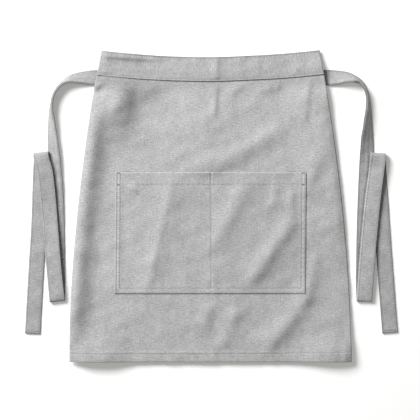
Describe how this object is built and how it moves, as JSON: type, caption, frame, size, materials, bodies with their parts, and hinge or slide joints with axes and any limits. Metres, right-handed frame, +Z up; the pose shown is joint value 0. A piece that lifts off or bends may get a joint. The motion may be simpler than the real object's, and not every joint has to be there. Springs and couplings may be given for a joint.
{
  "type": "half waist apron",
  "caption": "Half waist apron in grey woven cloth, laid face up: flared skirt with a turned-up hem, folded waistband, patch pocket with a stitched divider, and long flat ties.",
  "frame": {"origin": "middle of the lying apron's outline, on the surface that it lies on", "axes": "+X to the right of the front, +Y from the hem to the waist, +Z up, out of the front of the cloth"},
  "size_m": [0.671, 0.56, 0.0281],
  "materials": {
    "skirt_cloth": "matte melange weave",
    "waistband_cloth": "matte melange weave",
    "pocket_cloth": "matte melange weave",
    "tie_cloth": "matte melange weave"
  },
  "bodies": {
    "root": {"skirt_panel": "skirt_cloth", "waistband": "waistband_cloth", "patch_pocket": "pocket_cloth", "tie_left": "tie_cloth", "tie_right": "tie_cloth"}
  },
  "joints": []
}
